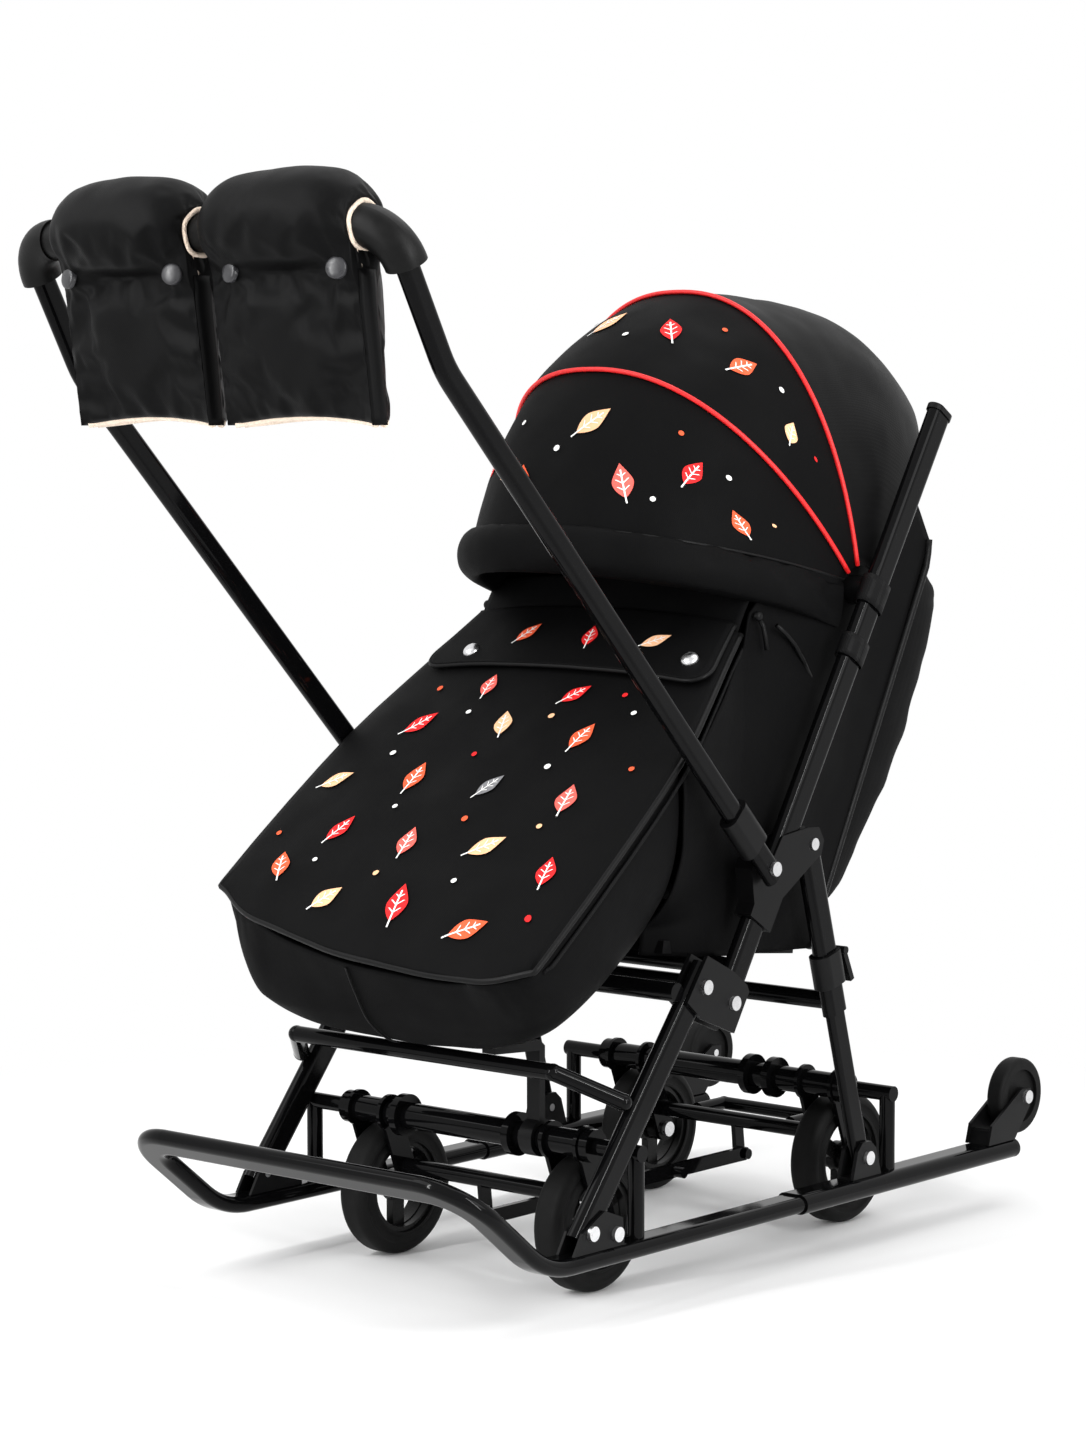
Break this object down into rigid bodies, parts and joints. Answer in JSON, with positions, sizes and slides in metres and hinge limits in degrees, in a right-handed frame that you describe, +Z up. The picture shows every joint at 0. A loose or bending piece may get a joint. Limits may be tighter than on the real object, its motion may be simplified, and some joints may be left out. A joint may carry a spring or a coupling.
{
  "type": "sled stroller",
  "caption": "Child's sled stroller: bent-tube runners, small wheels that swing down, padded seat with folding hood and leg cover, handle that flips front to back, hand muffs.",
  "frame": {"origin": "on the ground under the middle of the overall length and width", "axes": "+Z up, the front faces -Y, +X to the right of the child"},
  "size_m": [0.494, 1.0764, 1.0379],
  "materials": {
    "frame_black": "gloss black paint",
    "black_plastic": "satin moulded plastic",
    "bright_steel": "bright zinc plate",
    "tyre_rubber": "matte solid rubber",
    "rim_black": "moulded black plastic",
    "grip_foam": "fine foam",
    "black_fabric": "coated woven cloth",
    "seat_fabric": "padded woven cloth"
  },
  "bodies": {
    "sled_base": {"front_bow": "frame_black", "runners": "frame_black", "runner_end_caps": "black_plastic", "front_legs": "frame_black", "runner_brackets": "black_plastic", "footrest_bar": "frame_black", "footrest_strut": "black_plastic", "front_axle_bridge": "frame_black", "rear_axle_bridge": "frame_black", "fold_brackets": "black_plastic", "frame_bolts": "bright_steel"},
    "front_swing": {"front_swing_tube": "frame_black", "front_fork_plates": "frame_black", "front_lower_bar": "frame_black", "front_axle_pins": "bright_steel"},
    "rear_swing": {"rear_swing_tube": "frame_black", "rear_fork_plates": "frame_black", "rear_lower_bar": "frame_black", "rear_axle_pins": "bright_steel", "foot_pedal_bar": "frame_black"},
    "link": {"link_rod": "frame_black"},
    "wheel_front_right": {"tyre_front_right": "tyre_rubber", "rim_front_right": "rim_black"},
    "wheel_front_left": {"tyre_front_left": "tyre_rubber", "rim_front_left": "rim_black"},
    "wheel_rear_right": {"tyre_rear_right": "tyre_rubber", "rim_rear_right": "rim_black"},
    "wheel_rear_left": {"tyre_rear_left": "tyre_rubber", "rim_rear_left": "rim_black"},
    "tilt_right": {"tilt_wheel_right": "tyre_rubber"},
    "tilt_left": {"tilt_wheel_left": "tyre_rubber"},
    "leg_lower": {"rear_legs_lower": "frame_black"},
    "leg_upper": {"rear_legs_upper": "frame_black", "rear_crossbar": "frame_black", "leg_clamps": "black_plastic"},
    "levers": {"clamp_levers": "black_plastic"},
    "upper_frame": {"side_posts": "frame_black", "post_caps": "black_plastic", "hinge_blocks": "black_plastic", "upper_bolts": "bright_steel", "hood_pivots": "black_plastic", "seat_tube": "frame_black", "seat_base": "black_plastic", "seat_pad": "seat_fabric", "side_panels": "black_fabric", "foot_bag": "black_fabric", "leg_cover": "black_fabric", "wind_flap": "black_fabric", "back_panel": "black_fabric", "back_pocket": "black_fabric", "hood_rear": "black_fabric"},
    "backrest_body": {"backrest": "seat_fabric"},
    "footrest_body": {"footrest_board": "black_plastic"},
    "hood_mid_body": {"hood_mid": "black_fabric"},
    "hood_front_body": {"hood_front": "black_fabric"},
    "handle": {"handle_arms": "frame_black", "handle_bar": "grip_foam"},
    "locks": {"handle_locks": "black_plastic"},
    "muff_right_body": {"muff_right": "black_fabric"},
    "muff_left_body": {"muff_left": "black_fabric"}
  },
  "joints": [
    {"name": "wheel_lift", "type": "hinge", "parent": "sled_base", "child": "front_swing", "pos_m": [0, -0.13975, 0.1475], "axis": [1, 0, 0], "range_deg": [0, 57]},
    {"name": "rear_lift", "type": "hinge", "parent": "sled_base", "child": "rear_swing", "pos_m": [0, 0.26425, 0.1475], "axis": [1, 0, 0], "range_deg": [0, 57]},
    {"name": "link_swing", "type": "hinge", "parent": "front_swing", "child": "link", "pos_m": [0, -0.11475, 0.0555], "axis": [1, 0, 0], "range_deg": [-57, 0]},
    {"name": "front_right_spin", "type": "hinge", "parent": "front_swing", "child": "wheel_front_right", "pos_m": [0.126, -0.10975, 0.0675], "axis": [1, 0, 0], "continuous": true},
    {"name": "front_left_spin", "type": "hinge", "parent": "front_swing", "child": "wheel_front_left", "pos_m": [-0.126, -0.10975, 0.0675], "axis": [1, 0, 0], "continuous": true},
    {"name": "rear_right_spin", "type": "hinge", "parent": "rear_swing", "child": "wheel_rear_right", "pos_m": [0.126, 0.29425, 0.0675], "axis": [1, 0, 0], "continuous": true},
    {"name": "rear_left_spin", "type": "hinge", "parent": "rear_swing", "child": "wheel_rear_left", "pos_m": [-0.126, 0.29425, 0.0675], "axis": [1, 0, 0], "continuous": true},
    {"name": "tilt_right_spin", "type": "hinge", "parent": "sled_base", "child": "tilt_right", "pos_m": [0.208, 0.49825, 0.113], "axis": [1, 0, 0], "continuous": true},
    {"name": "tilt_left_spin", "type": "hinge", "parent": "sled_base", "child": "tilt_left", "pos_m": [-0.208, 0.49825, 0.113], "axis": [1, 0, 0], "continuous": true},
    {"name": "frame_fold", "type": "hinge", "parent": "sled_base", "child": "upper_frame", "pos_m": [0, -0.00775, 0.274], "axis": [-1, 0, 0], "range_deg": [0, 32]},
    {"name": "leg_lean", "type": "hinge", "parent": "sled_base", "child": "leg_lower", "pos_m": [0, 0.21625, 0.09], "axis": [-1, 0, 0], "range_deg": [0, 7.36]},
    {"name": "leg_slide", "type": "slide", "parent": "leg_lower", "child": "leg_upper", "axis": [0, 0.2754, -0.9613], "range_m": [0, 0.09969]},
    {"name": "clamp_levers_turn", "type": "hinge", "parent": "leg_upper", "child": "levers", "pos_m": [0, 0.17907, 0.30401], "axis": [1, 0, 0], "range_deg": [0, 80]},
    {"name": "handle_flip", "type": "hinge", "parent": "upper_frame", "child": "handle", "pos_m": [0, 0.03528, 0.39994], "axis": [-1, 0, 0], "range_deg": [0, 73]},
    {"name": "lock_slide", "type": "slide", "parent": "handle", "child": "locks", "axis": [0, -0.6997, 0.7145], "range_m": [0, 0.012], "stiffness_N_per_m": 300},
    {"name": "muff_right_swing", "type": "hinge", "parent": "handle", "child": "muff_right_body", "pos_m": [0, -0.49025, 0.99063], "axis": [1, 0, 0], "range_deg": [-15, 85]},
    {"name": "muff_left_swing", "type": "hinge", "parent": "handle", "child": "muff_left_body", "pos_m": [0, -0.49025, 0.99063], "axis": [1, 0, 0], "range_deg": [-15, 85]},
    {"name": "hood_fold", "type": "hinge", "parent": "upper_frame", "child": "hood_mid_body", "pos_m": [0, 0.23425, 0.659], "axis": [-1, 0, 0], "range_deg": [0, 30]},
    {"name": "hood_front_fold", "type": "hinge", "parent": "hood_mid_body", "child": "hood_front_body", "pos_m": [0, 0.23425, 0.659], "axis": [-1, 0, 0], "range_deg": [0, 33]},
    {"name": "backrest_raise", "type": "hinge", "parent": "upper_frame", "child": "backrest_body", "pos_m": [0, 0.17425, 0.33], "axis": [1, 0, 0], "range_deg": [0, 20]},
    {"name": "footrest_raise", "type": "hinge", "parent": "upper_frame", "child": "footrest_body", "pos_m": [0, -0.06375, 0.3378], "axis": [-1, 0, 0], "range_deg": [0, 12]}
  ],
  "couplings": [
    {"joint": "rear_lift", "follows": "wheel_lift", "ratio": 1},
    {"joint": "link_swing", "follows": "wheel_lift", "ratio": -1},
    {"joint": "leg_lean", "follows": "frame_fold", "ratio": 0.23},
    {"joint": "leg_slide", "follows": "frame_fold", "m_per_rad": 0.1785},
    {"joint": "hood_front_fold", "follows": "hood_fold", "ratio": 1.1}
  ]
}
